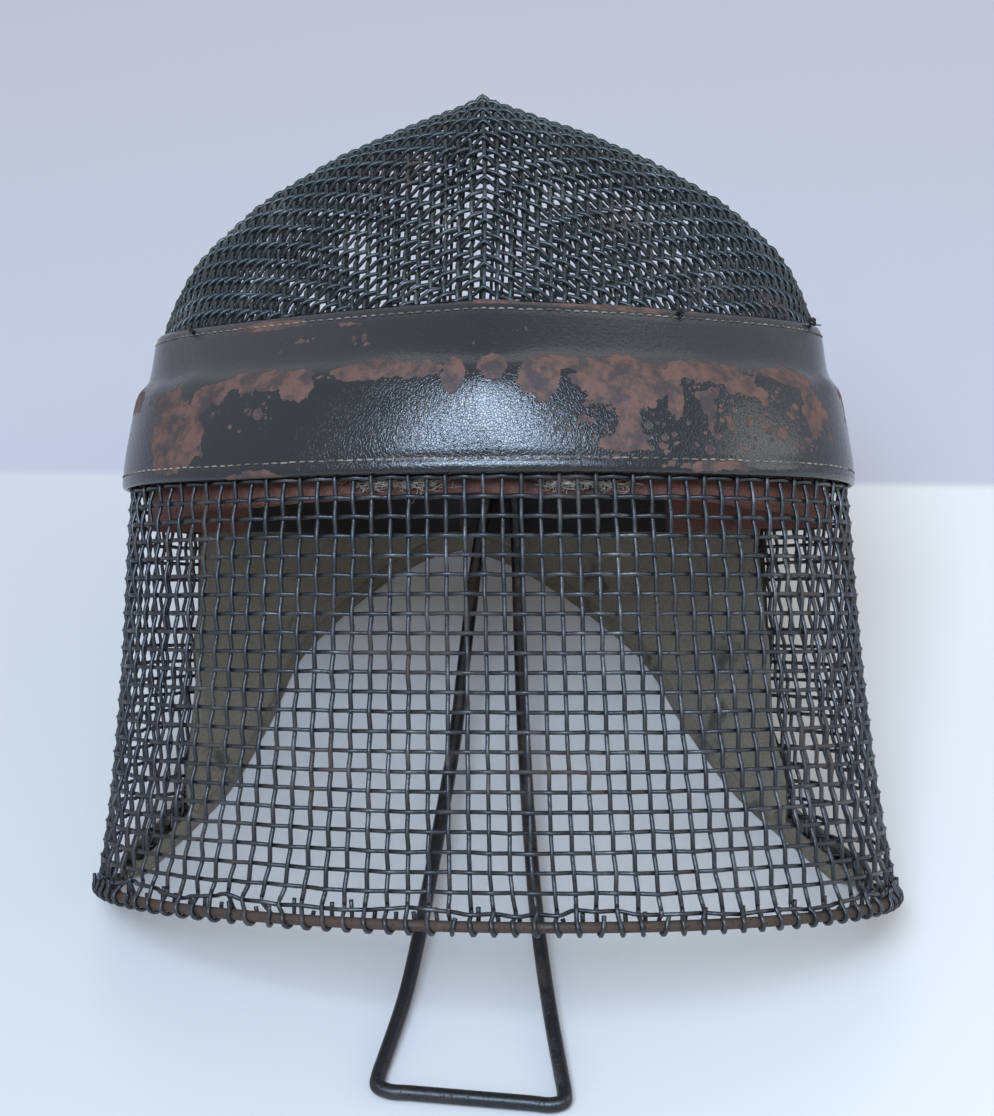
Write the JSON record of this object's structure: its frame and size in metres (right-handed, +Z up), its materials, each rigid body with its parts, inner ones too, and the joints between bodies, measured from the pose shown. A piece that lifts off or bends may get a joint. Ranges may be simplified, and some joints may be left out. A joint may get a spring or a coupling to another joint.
{
  "type": "fencing mask",
  "caption": "Fencing mask of woven steel wire with a pointed crown, leather headband, bound opening and rod head spring.",
  "frame": {"origin": "middle of the box, on the surface that the flat opening of the mask lies on", "axes": "+Z up from that surface, -Y towards the raised front of the face, X across the face"},
  "size_m": [0.2334, 0.28, 0.1821],
  "materials": {
    "face_wire": "darkened steel wire with brown rust bloom",
    "crown_wire": "darkened steel wire with worn dark paint",
    "steel_rod": "dull dark steel with light rust",
    "patent_leather": "cracked glossy black lacquer worn through to brown",
    "brown_leather": "matt worn reddish brown",
    "olive_leather": "matt stained olive brown",
    "dark_leather": "matt dark brown"
  },
  "bodies": {
    "root": {"face_mesh": "face_wire", "crown_mesh": "crown_wire", "rim_wire": "steel_rod", "forehead_band": "patent_leather", "sweatband": "brown_leather", "edge_lining": "olive_leather", "edge_binding": "dark_leather", "head_spring": "steel_rod", "spring_plate": "steel_rod"}
  },
  "joints": []
}
